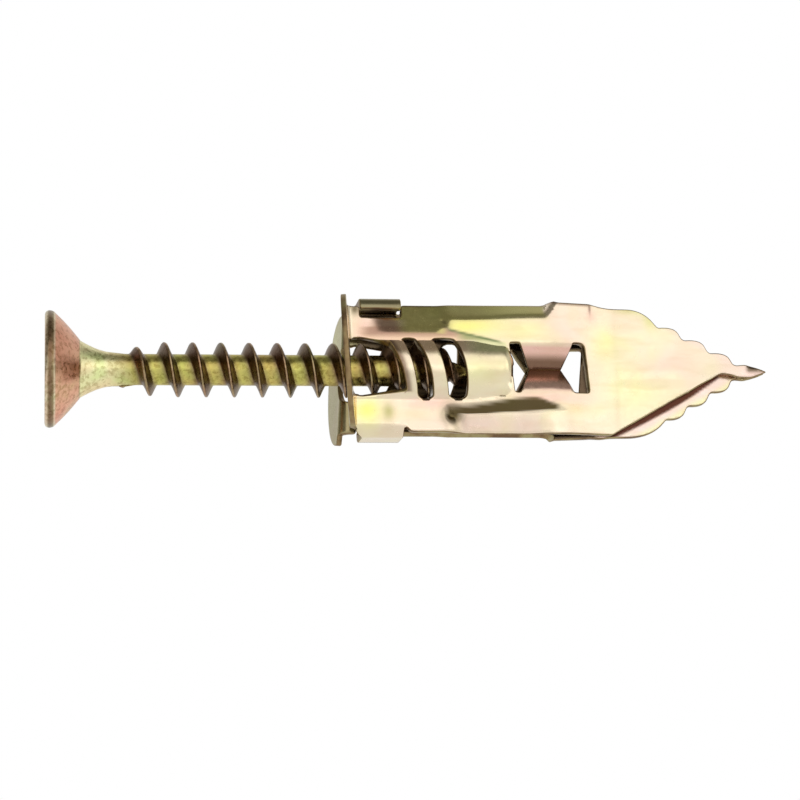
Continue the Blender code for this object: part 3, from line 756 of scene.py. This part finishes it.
def outer_plating_and_shade(u, v):
    """Cream passivation, yellow and pink clouds; painted shade along pressed lines, flank, strip,
    hook and fins.
    """
    # The channel's upper flank, with painted shade in rose brown and dark sage towards its top.
    foot = 2.80 - 0.24 * np.clip(u - 6.9, 0.0, 4.3)
    flank = between(v, (0.75, 1.0), (foot - 0.02, foot + 0.12))
    flank = flank * between(u, (0.3, 1.5), (11.3, 11.6))
    near = 1.0 - ramp(u, 7.4, 9.2)
    # Painted shadow line along the channel's foot.
    line = np.exp(-((v - foot) / 0.10) ** 2) * between(u, (6.6, 7.4), (10.8, 11.3))
    # Painted shade on the upper strip, which leans back, and on the upper side near the collar.
    above = v - upper_crease(np.maximum(u, 7.5))
    strip = ramp(above, -0.2, 0.1) * between(u, (3.0, 3.8), (14.2, 14.8))
    shoulder = ramp(v, 2.3, 2.6) * (1.0 - ramp(u, 6.6, 7.3))
    # Painted shade on the tab's hook.
    hook = ramp(-v, TAB_BEND + 2.6, TAB_BEND + 2.9) * (u < NOTCH[1])
    # The fins: pink, with painted shade darkening them towards their tips.
    fin = np.clip(WINDOW_HALF - np.abs(v), 0.0, None)
    fin = fin * (u > FIN_BASE[0] - 0.3) * (u < FIN_BASE[1] + 0.3)
    layers = [(color, amount * spot(u, v, *place)) for color, *place, amount in PLATING_AND_SHADE_CLOUDS]
    layers += [
        (FLANK_ROSE, 0.9 * flank * near),
        (SHADE_ROSE_BROWN, 0.9 * flank * near * ramp(v, 2.0, 2.4)),
        (SAGE, 0.9 * flank * ramp(u, 8.2, 9.6)),
        (SHADE_SAGE, 0.9 * flank * ramp(u, 7.4, 8.6) * ramp(v, 1.75, 2.15)),
        (PAINTED_SHADOW_GREEN, 0.9 * line),
        (SHADE_ROSE_BROWN, 0.85 * shoulder * between(u, (1.1, 2.0), (3.2, 4.4))),
        (SHADE_OLIVE, np.maximum(strip, shoulder * ramp(u, 3.2, 4.4))),
        (HOOK_SHADE_OLIVE, hook),
        (PINK, ramp(fin, 0.02, 0.2)),
        (PAINTED_SHADE_BROWN, 0.95 * ramp(fin, 0.45, 1.15)),
        # Painted shade along the lower crease, the upper edge and beside the first slot.
        (PAINTED_SHADE_DARK, band_amount(u, v)),
        (PAINTED_SHADE_BROWN, 0.85 * border_amount(u, v)),
    ]
    return layered(CREAM, layers + tip_layers(u, v))


def border_amount(u, v):
    """Strength of the painted shade along the upper edge and beside the first slot."""
    edge = np.where(u < sum(STRIP_END) / 2, STRIP_WIDTH, HALF_WIDTH) - v
    line = (1.0 - ramp(edge, 0.06, 0.22)) * between(u, (3.9, 4.1), (17.6, 18.0))
    side = curved_side(FIRST_SLOT, SLOT_HALF)
    order = np.argsort(side[:, 1])
    beyond = u - np.interp(v, side[order, 1], side[order, 0])
    beside = (1.0 - ramp(beyond, 0.15, 0.55)) * (beyond > -0.2)
    return np.maximum(line, beside * (np.abs(v) < SLOT_HALF - 0.1))


def band_amount(u, v):
    """Strength of the painted shade line along the lower crease, hooked round its dimple at the
    left.
    """
    top = 2.85 - 0.62 * ramp(u, 7.2, 13.6) + 0.55 * ramp(u, 13.4, 15.6)
    bottom = 3.30 - 0.30 * ramp(u, 8.0, 14.6)
    line = between(-v, (top - 0.12, top + 0.10), (bottom - 0.05, bottom + 0.06))
    line = line * between(u, (6.7, 7.1), (14.9, 15.5))
    return np.maximum(line, 1.5 * spot(u, v, 7.35, -3.52, 0.68, 0.70))


def tip_layers(u, v):
    """Yellow-olive shoulder, pink teeth and painted shade on the spear's facet."""
    teeth = ramp(margin_distance(u, v), 0.3, 1.0) * ramp(u, 19.0, 19.8)
    # Painted shade on the spear's facet.
    facet = ramp(u, 29.6, 30.0) * ramp(v, -0.12, 0.04)
    return [
        (MARGIN_YELLOW, 0.8 * teeth * (1.0 - ramp(u, 22.0, 23.4))),
        (MARGIN_PINK, 0.8 * teeth * ramp(u, 22.4, 23.4)),
        (MARGIN_PINK, 0.8 * ramp(u, 27.0, 28.4)),
        (PAINTED_SHADE_DARK, 0.85 * facet),
    ]


def inner_plating_and_shade(u, v):
    """The side that faces the other half, and the lobe's head side: painted shade in darker olive
    brown.
    """
    margin = ramp(u, 18.2, 19.2)
    along, outwards = tooth_shift(u, v)
    away = margin_distance(u + along, v + outwards)
    # Painted shadow line along the other half's straight edge.
    width = 0.06 + 0.30 * np.sin(np.clip((u - 18.9) / 9.6, 0.0, 1.0) * math.pi)
    line = between(u, (18.9, 19.4), (27.6, 28.0))
    line = line * between(away, (-0.55, -0.30), (width, width + 0.20))
    return layered(INNER_SHADE_OLIVE, [
        # Painted shade between the halves.
        (INNER_SHADE_BROWN, ramp(u, 0.5, 1.5) * (1.0 - margin)),
        (SAGE, 0.5 * spot(u, v, -2.0, -3.0, 2.2, 2.0)),
        (INNER_TAN, margin),
        (MARGIN_PINK, margin * ramp(away, -1.6, -0.3)),
        (MARGIN_YELLOW, 0.9 * margin * ramp(away, 0.6, 1.2)),
        (PAINTED_SHADOW_RED, 0.97 * line),
    ])


# ---- the screw ----

def catmull(points, steps):
    """Smooth curve through the points."""
    points = [points[0]] + list(points) + [points[-1]]
    curve = []
    for a, b, c, d in zip(points, points[1:], points[2:], points[3:]):
        a, b, c, d = (np.array(point, float) for point in (a, b, c, d))
        for t in np.linspace(0.0, 1.0, steps, endpoint=False):
            curve.append(0.5 * (2 * b + (c - a) * t + (2 * a - 5 * b + 4 * c - d) * t * t
                                + (3 * b - a - 3 * c + d) * t ** 3))
    curve.append(np.array(points[-1], float))
    return curve


def head_profile():
    """Head and neck from the face to the thread, as (x, radius)."""
    face = SCREW_LOW.x
    flat = [(face, radius) for radius in np.linspace(0.25, HEAD_FLAT, 14)]
    rim = [(face + along, HEAD_RADIUS - inset) for along, inset in RIM_INSETS]
    cone = catmull([(face + along, radius) for along, radius in CONE_RADII], 7)
    neck = [(face + along, radius) for along, radius in NECK_RADII]
    neck = catmull(neck + [(THREAD_START, NECK_RADIUS)], 7)
    return flat + rim + [tuple(point) for point in cone + neck]


def screw_radii(x):
    """Root and crest radius at x: the neck runs out, the thread grows and the gimlet tapers."""
    point = min(max((SCREW_HIGH.x - x) / GIMLET, 0.0), 1.0)
    pitches = (x - THREAD_START) / PITCH
    neck = (NECK_RADIUS - ROOT_RADIUS) * (1.0 - float(ramp(pitches, 0.0, 0.5)))
    root = (ROOT_RADIUS + neck) * point ** 0.8
    fade = float(ramp(pitches, 0.1, 1.9)) ** 0.8
    crest = root + (CREST_RADIUS - ROOT_RADIUS) * fade * min(1.25 * point, 1.0)
    return root, crest


def thread_profile():
    """One pitch of thread as (part of the pitch, part of the height): fillet, flank, thin crest."""
    rise = [(0.10, 0.0), (0.225, 0.0), (0.262, 0.035), (0.290, 0.12), (0.337, 0.36), (0.383, 0.62),
            (0.420, 0.84), (0.440, 0.93), (0.464, 0.985)]
    return rise + [(0.97 - part, height) for part, height in reversed(rise)]


def helix_vertex(shape, step, part, height):
    turn = 2 * math.pi * step / THREAD_STEPS + THREAD_PHASE
    x = THREAD_START + PITCH * (step / THREAD_STEPS + part)
    root, crest = screw_radii(x)
    radius = root + (crest - root) * height
    wear = noise.noise(Vector((x, 2.2 * math.cos(turn), 2.2 * math.sin(turn))) * 2.3)
    radius += 0.018 * wear * height
    return shape.verts.new((x * MM, -radius * math.sin(turn) * MM, radius * math.cos(turn) * MM))


def ring(shape, x, radius):
    turns = [2 * math.pi * step / THREAD_STEPS + THREAD_PHASE for step in range(THREAD_STEPS)]
    return [shape.verts.new((x * MM, -radius * math.sin(turn) * MM, radius * math.cos(turn) * MM))
            for turn in turns]


def bridge(shape, first, second):
    for index in range(len(first)):
        following = (index + 1) % len(first)
        shape.faces.new((first[index], first[following], second[following], second[index]))


def screw_body():
    """Head, neck and one continuous helical thread surface down to the gimlet point."""
    shape = bmesh.new()
    profile = thread_profile()
    total = int((SCREW_HIGH.x - THREAD_START) / PITCH * THREAD_STEPS) - THREAD_STEPS
    lines = [[helix_vertex(shape, step, *place) for place in profile] for step in range(total)]
    for step in range(total - 1):
        for index in range(len(profile) - 1):
            shape.faces.new((lines[step][index], lines[step + 1][index],
                             lines[step + 1][index + 1], lines[step][index + 1]))
    for step in range(total - THREAD_STEPS - 1):
        shape.faces.new((lines[step][-1], lines[step + 1][-1],
                         lines[step + 1 + THREAD_STEPS][0], lines[step + THREAD_STEPS][0]))
    close_thread_start(shape, lines)
    close_thread_end(shape, lines, total)
    bmesh.ops.triangulate(shape, faces=[face for face in shape.faces if len(face.verts) > 4])
    bmesh.ops.recalc_face_normals(shape, faces=shape.faces)
    return shape


def close_thread_start(shape, lines):
    """Joins the helix's first turn to the neck, and the neck to the head."""
    before = ring(shape, THREAD_START, NECK_RADIUS)
    for index in range(THREAD_STEPS - 1):
        shape.faces.new((before[index], before[index + 1], lines[index + 1][0], lines[index][0]))
    seam = [before[-1], before[0]] + lines[0] + [lines[THREAD_STEPS][0], lines[THREAD_STEPS - 1][0]]
    shape.faces.new(seam)
    for x, radius in reversed(head_profile()[:-1]):
        current = ring(shape, x, radius)
        bridge(shape, current, before)
        before = current
    shape.faces.new(list(reversed(before)))


def close_thread_end(shape, lines, total):
    """Joins the helix's last turn to the screw's tip."""
    tip = shape.verts.new((SCREW_HIGH.x * MM, 0.0, 0.0))
    last = total - 1
    for step in range(last - THREAD_STEPS, last):
        shape.faces.new((lines[step][-1], lines[step + 1][-1], tip))
    seam = [lines[last - THREAD_STEPS][-1], tip, lines[last][-1]]
    shape.faces.new(seam + list(reversed(lines[last][:-1])))


def recess_cutter():
    """Cross recess: two tapered blades with round corners and a cone at their middle."""
    face = SCREW_LOW.x
    slope = (RECESS_RADIUS - RECESS_FLOOR) / RECESS_DEPTH
    corner = RECESS_CORNER
    shape = bmesh.new()
    rows = []
    for depth in (-RECESS_ABOVE, 0.0, 0.8, 1.6, RECESS_DEPTH):
        half = RECESS_RADIUS - slope * depth
        blade = RECESS_BLADE / 2 * (1.0 - 0.10 * depth / RECESS_DEPTH)
        inner = blade + RECESS_FILLET
        quarter = [(half, -blade + corner), (half, blade - corner), (half - corner, blade),
                   (inner + 0.15, blade), (inner, inner), (blade, inner + 0.15),
                   (blade, half - corner)]
        row = []
        for quadrant in range(4):
            turn = Matrix.Rotation(quadrant * math.pi / 2, 2)
            for place in quarter:
                y, z = turn @ Vector(place)
                row.append(shape.verts.new(((face + depth) * MM, y * MM, z * MM)))
        rows.append(row)
    for first, second in zip(rows, rows[1:]):
        bridge(shape, first, second)
    tip = shape.verts.new(((face + RECESS_DEPTH + RECESS_TIP) * MM, 0.0, 0.0))
    floor = rows[-1]
    for index, vertex in enumerate(floor):
        shape.faces.new((vertex, floor[(index + 1) % len(floor)], tip))
    shape.faces.new(list(reversed(rows[0])))
    bmesh.ops.recalc_face_normals(shape, faces=shape.faces)
    return as_object("recess_cutter", shape)


def as_object(name, shape):
    mesh = bpy.data.meshes.new(name)
    shape.to_mesh(mesh)
    shape.free()
    return placed(name, mesh)


def placed(name, data):
    """A new object in the scene that shows the mesh, camera or light."""
    piece = bpy.data.objects.new(name, data)
    bpy.context.scene.collection.objects.link(piece)
    return piece


def screw_plating_and_light(places):
    """Salmon cone; painted highlights on neck, crests, roots and rim borders; painted shade on
    flanks and rim.
    """
    x, y, z = places.T
    turn = np.arctan2(-y, z) - THREAD_PHASE
    part = ((x - THREAD_START) / PITCH - turn / (2 * math.pi)) % 1.0
    thread = ramp(x, THREAD_START - 0.3, THREAD_START + 0.3)
    # Painted highlights along the crests and the roots' middles.
    crest = np.exp(-((part - THREAD_CREST) / 0.018) ** 2)
    root = 1.0 - ramp(np.abs((part - THREAD_ROOT + 0.5) % 1.0 - 0.5), 0.10, 0.26)
    # Painted shade on the head's rim.
    rim = 0.8 * ramp(-x, *RIM_START) * ramp(np.hypot(y, z), 3.80, 3.95)
    return layered(SCREW_OLIVE, [
        # Painted shade on both flanks.
        (FLANK_SHADE_BROWN, between(part, *HEADWARD_FLANK) * thread),
        (FLANK_SHADE_BROWN, 0.85 * between(part, *TIPWARD_FLANK) * thread),
        (PINK, 0.8 * crest * thread),
        (ROOT_HIGHLIGHT_YELLOW, 0.9 * root * thread),
        (SALMON, between(-x, *CONE_ZONE)),
        # Painted shade at the thread's run-out and a painted highlight on the neck.
        (FLANK_SHADE_BROWN, between(-x, *RUNOUT_ZONE)),
        (NECK_HIGHLIGHT_YELLOW, between(-x, *NECK_ZONE)),
        # Painted shade on the rim, painted highlights at its borders and a dark painted reflection
        # stripe round its middle.
        (RIM_SHADE_BROWN, rim),
        (CREAM, rim * ramp(-x, *FACE_BORDER)),
        (PAINTED_SHADE_BROWN, rim * np.exp(-((x + RIM_MIDDLE) / 0.13) ** 2)),
        (CREAM, 0.9 * between(-x, *CONE_BORDER)),
    ])


def build_screw(material):
    screw = as_object("screw_fine", screw_body())
    cutter = recess_cutter()
    recess = screw.modifiers.new("recess", "BOOLEAN")
    recess.operation = "DIFFERENCE"
    recess.object = cutter
    bake_modifiers(screw)
    bpy.data.objects.remove(cutter)
    screw.data.materials.clear()
    screw.data.materials.append(material)
    places = np.empty(len(screw.data.vertices) * 3, np.float32)
    screw.data.vertices.foreach_get("co", places)
    paint(screw.data, screw_plating_and_light(places.reshape(-1, 3) / MM))
    screw.data.shade_smooth()
    screw.data.set_sharp_from_angle(angle=math.radians(38))
    return screw


def bake_modifiers(piece):
    """Replaces the piece's mesh by its evaluated one, without modifiers."""
    bpy.context.view_layer.update()
    evaluated = piece.evaluated_get(bpy.context.evaluated_depsgraph_get())
    mesh = bpy.data.meshes.new_from_object(evaluated)
    piece.modifiers.clear()
    old = piece.data
    piece.data = mesh
    bpy.data.meshes.remove(old)


# ---- materials ----

def new_material(name):
    material = bpy.data.materials.new(name)
    material.use_nodes = True
    nodes = material.node_tree.nodes
    nodes.clear()
    output = nodes.new("ShaderNodeOutputMaterial")
    shader = nodes.new("ShaderNodeBsdfPrincipled")
    shader.inputs["Metallic"].default_value = 1.0
    material.node_tree.links.new(shader.outputs["BSDF"], output.inputs["Surface"])
    return material, shader


def object_noise(material, scale, detail, distortion=0.0, stretch=(1.0, 1.0, 1.0)):
    """Noise in object coordinates; scale counts features per metre."""
    nodes = material.node_tree.nodes
    links = material.node_tree.links
    place = nodes.new("ShaderNodeTexCoord")
    mapping = nodes.new("ShaderNodeMapping")
    mapping.inputs["Scale"].default_value = stretch
    texture = nodes.new("ShaderNodeTexNoise")
    texture.inputs["Scale"].default_value = scale
    texture.inputs["Detail"].default_value = detail
    texture.inputs["Distortion"].default_value = distortion
    links.new(place.outputs["Object"], mapping.inputs["Vector"])
    links.new(mapping.outputs["Vector"], texture.inputs["Vector"])
    return texture


def color_ramp(material, texture, stops):
    """The texture's value turned into a colour, through (position, colour) stops."""
    node = material.node_tree.nodes.new("ShaderNodeValToRGB")
    elements = node.color_ramp.elements
    elements.remove(elements[1])
    elements[0].position = stops[0][0]
    for position, _ in stops[1:]:
        elements.new(position)
    for element, (_, color) in zip(elements, stops):
        element.color = (*color, 1.0)
    material.node_tree.links.new(texture.outputs["Fac"], node.inputs["Fac"])
    return node.outputs["Color"]


def value_range(material, texture, low, high):
    node = material.node_tree.nodes.new("ShaderNodeMapRange")
    node.inputs["From Min"].default_value = 0.3
    node.inputs["From Max"].default_value = 0.7
    node.inputs["To Min"].default_value = low
    node.inputs["To Max"].default_value = high
    material.node_tree.links.new(texture.outputs["Fac"], node.inputs["Value"])
    return node.outputs["Result"]


def mix_colors(tree, first, second, factor, mode):
    node = tree.nodes.new("ShaderNodeMix")
    node.data_type = "RGBA"
    node.blend_type = mode
    node.inputs["Factor"].default_value = factor
    tree.links.new(first, node.inputs[6])
    tree.links.new(second, node.inputs[7])
    return node.outputs[2]


def add_bump(material, shader, texture, strength, distance):
    bump = material.node_tree.nodes.new("ShaderNodeBump")
    bump.inputs["Strength"].default_value = strength
    bump.inputs["Distance"].default_value = distance
    links = material.node_tree.links
    links.new(texture.outputs["Fac"], bump.inputs["Height"])
    links.new(bump.outputs["Normal"], shader.inputs["Normal"])


def painted(material):
    node = material.node_tree.nodes.new("ShaderNodeVertexColor")
    node.layer_name = "plating_and_light"
    return node.outputs["Color"]


def finish_metal(material, shader, color, grain, rough, bump):
    """Connects the colour, and the roughness range and the bump that follow the grain."""
    links = material.node_tree.links
    links.new(color, shader.inputs["Base Color"])
    links.new(value_range(material, grain, *rough), shader.inputs["Roughness"])
    add_bump(material, shader, grain, *bump)


def sheet_material():
    """Bright yellow passivated zinc: painted clouds and shade under finer tints, streaks and pits.
    """
    material, shader = new_material("zinc_sheet")
    clouds = object_noise(material, 230.0, 2.0, 0.4)
    tints = color_ramp(material, clouds, [
        (0.30, (0.97, 1.0, 0.82)), (0.45, (1.0, 0.98, 0.94)), (0.56, (1.0, 0.93, 0.90)),
        (0.70, (0.98, 0.96, 0.84)),
    ])
    color = mix_colors(material.node_tree, painted(material), tints, 0.8, "MULTIPLY")
    streaks = object_noise(material, 900.0, 3.0, 0.3, (0.4, 1.0, 1.4))
    shades = color_ramp(material, streaks, [(0.30, (0.86, 0.84, 0.76)), (0.55, (1.0, 1.0, 1.0))])
    color = mix_colors(material.node_tree, color, shades, 0.5, "MULTIPLY")
    fine = object_noise(material, 2600.0, 3.0)
    finish_metal(material, shader, color, fine, (0.18, 0.28), (0.08, 0.00002))
    return material


def edge_material():
    """Sheared edges: rougher, with brown and olive as painted shade."""
    material, shader = new_material("zinc_edge")
    grain = object_noise(material, 900.0, 3.0)
    tints = color_ramp(material, grain, [
        (0.35, (0.21, 0.13, 0.07)), (0.50, (0.34, 0.24, 0.12)), (0.65, (0.44, 0.37, 0.19)),
    ])
    finish_metal(material, shader, tints, grain, (0.36, 0.5), (0.2, 0.00003))
    return material


def screw_material():
    """Darker plated zinc: painted zones, highlights and shade under green, copper and speckled
    clouds.
    """
    material, shader = new_material("zinc_screw")
    clouds = object_noise(material, 420.0, 3.0, 0.5)
    tints = color_ramp(material, clouds, [
        (0.32, (0.90, 1.0, 0.76)), (0.45, (1.0, 1.0, 0.90)), (0.56, (1.0, 0.90, 0.84)),
        (0.68, (0.98, 0.80, 0.74)),
    ])
    color = mix_colors(material.node_tree, painted(material), tints, 0.9, "MULTIPLY")
    speckle = object_noise(material, 3200.0, 3.0, 0.4)
    shades = color_ramp(material, speckle, [(0.38, (0.40, 0.33, 0.19)), (0.54, (1.0, 1.0, 1.0))])
    color = mix_colors(material.node_tree, color, shades, 0.5, "MULTIPLY")
    finish_metal(material, shader, color, speckle, (0.24, 0.38), (0.30, 0.00004))
    return material


# ---- stage ----

def add_camera():
    camera = placed("camera", bpy.data.cameras.new("camera"))
    camera.data.sensor_width = SENSOR
    camera.data.lens = LENS
    camera.data.clip_start = 0.01
    camera.data.clip_end = 10.0
    back = Vector((
        math.sin(VIEW_AZIMUTH) * math.cos(VIEW_ELEVATION),
        -math.cos(VIEW_AZIMUTH) * math.cos(VIEW_ELEVATION),
        math.sin(VIEW_ELEVATION),
    ))
    camera.location = CENTRE + back * VIEW_DISTANCE
    camera.rotation_mode = "QUATERNION"
    upright = (-back).to_track_quat("-Z", "Y")
    camera.rotation_quaternion = upright @ Quaternion((0.0, 0.0, 1.0), VIEW_ROLL)
    bpy.context.scene.camera = camera


def add_softbox():
    """Weak square light in front of the object."""
    light = bpy.data.lights.new("front_softbox", "AREA")
    light.size = SOFTBOX_SIZE
    light.energy = SOFTBOX_POWER
    lamp = placed("front_softbox", light)
    lamp.location = SOFTBOX_PLACE
    lamp.rotation_mode = "QUATERNION"
    lamp.rotation_quaternion = (CENTRE - Vector(SOFTBOX_PLACE)).to_track_quat("-Z", "Y")


def add_floor():
    """Plain pale floor below the object."""
    shape = bmesh.new()
    corners = ((-1, -1), (1, -1), (1, 1), (-1, 1))
    shape.faces.new([shape.verts.new((x * FLOOR_HALF, y * FLOOR_HALF, FLOOR_HEIGHT))
                     for x, y in corners])
    floor = as_object("floor", shape)
    material = bpy.data.materials.new("pale_floor")
    material.use_nodes = True
    shader = material.node_tree.nodes["Principled BSDF"]
    shader.inputs["Base Color"].default_value = (0.92, 0.92, 0.92, 1.0)
    shader.inputs["Roughness"].default_value = 0.9
    shader.inputs["Emission Color"].default_value = (1.0, 1.0, 1.0, 1.0)
    shader.inputs["Emission Strength"].default_value = FLOOR_GLOW
    floor.data.materials.append(material)


def add_lobe(tree, direction, axis, inner, outer, color):
    """Soft disc of light in the sky, full inside the inner angle and gone outside the outer."""
    dot = tree.nodes.new("ShaderNodeVectorMath")
    dot.operation = "DOT_PRODUCT"
    dot.inputs[1].default_value = Vector(axis).normalized()
    tree.links.new(direction, dot.inputs[0])
    fade = tree.nodes.new("ShaderNodeMapRange")
    fade.interpolation_type = "SMOOTHSTEP"
    fade.inputs["From Min"].default_value = math.cos(math.radians(outer))
    fade.inputs["From Max"].default_value = math.cos(math.radians(inner))
    tree.links.new(dot.outputs["Value"], fade.inputs["Value"])
    disc = tree.nodes.new("ShaderNodeMix")
    disc.data_type = "RGBA"
    disc.inputs[6].default_value = (0.0, 0.0, 0.0, 1.0)
    disc.inputs[7].default_value = (*color, 1.0)
    tree.links.new(fade.outputs["Result"], disc.inputs["Factor"])
    return disc.outputs[2]


def set_world():
    """Studio sky, dim but for the soft lights; the camera itself sees plain white."""
    world = bpy.data.worlds.new("studio")
    bpy.context.scene.world = world
    world.use_nodes = True
    tree = world.node_tree
    background = tree.nodes["Background"]
    direction = tree.nodes.new("ShaderNodeTexCoord").outputs["Generated"]
    total = None
    for axis, inner, outer, color in SKY_LIGHTS:
        light = add_lobe(tree, direction, axis, inner, outer, color)
        total = mix_colors(tree, total, light, 1.0, "ADD") if total else light
    path = tree.nodes.new("ShaderNodeLightPath")
    seen = tree.nodes.new("ShaderNodeMix")
    seen.data_type = "RGBA"
    seen.inputs[7].default_value = (1.0, 1.0, 1.0, 1.0)
    tree.links.new(path.outputs["Is Camera Ray"], seen.inputs["Factor"])
    tree.links.new(total, seen.inputs[6])
    tree.links.new(seen.outputs[2], background.inputs["Color"])


def main():
    add_camera()
    sheet, edge, plated = sheet_material(), edge_material(), screw_material()
    front, rear = build_halves((sheet, edge))
    screw = build_screw(plated)
    for piece, side in ((front, "front"), (rear, "rear")):
        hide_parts("collar_" + side, "leg_" + side)
        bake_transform(piece)
    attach(screw, "screw")
    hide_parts("screw", "screw_core")
    add_floor()
    add_softbox()
    set_world()
    bpy.context.scene.view_settings.view_transform = "Standard"


main()
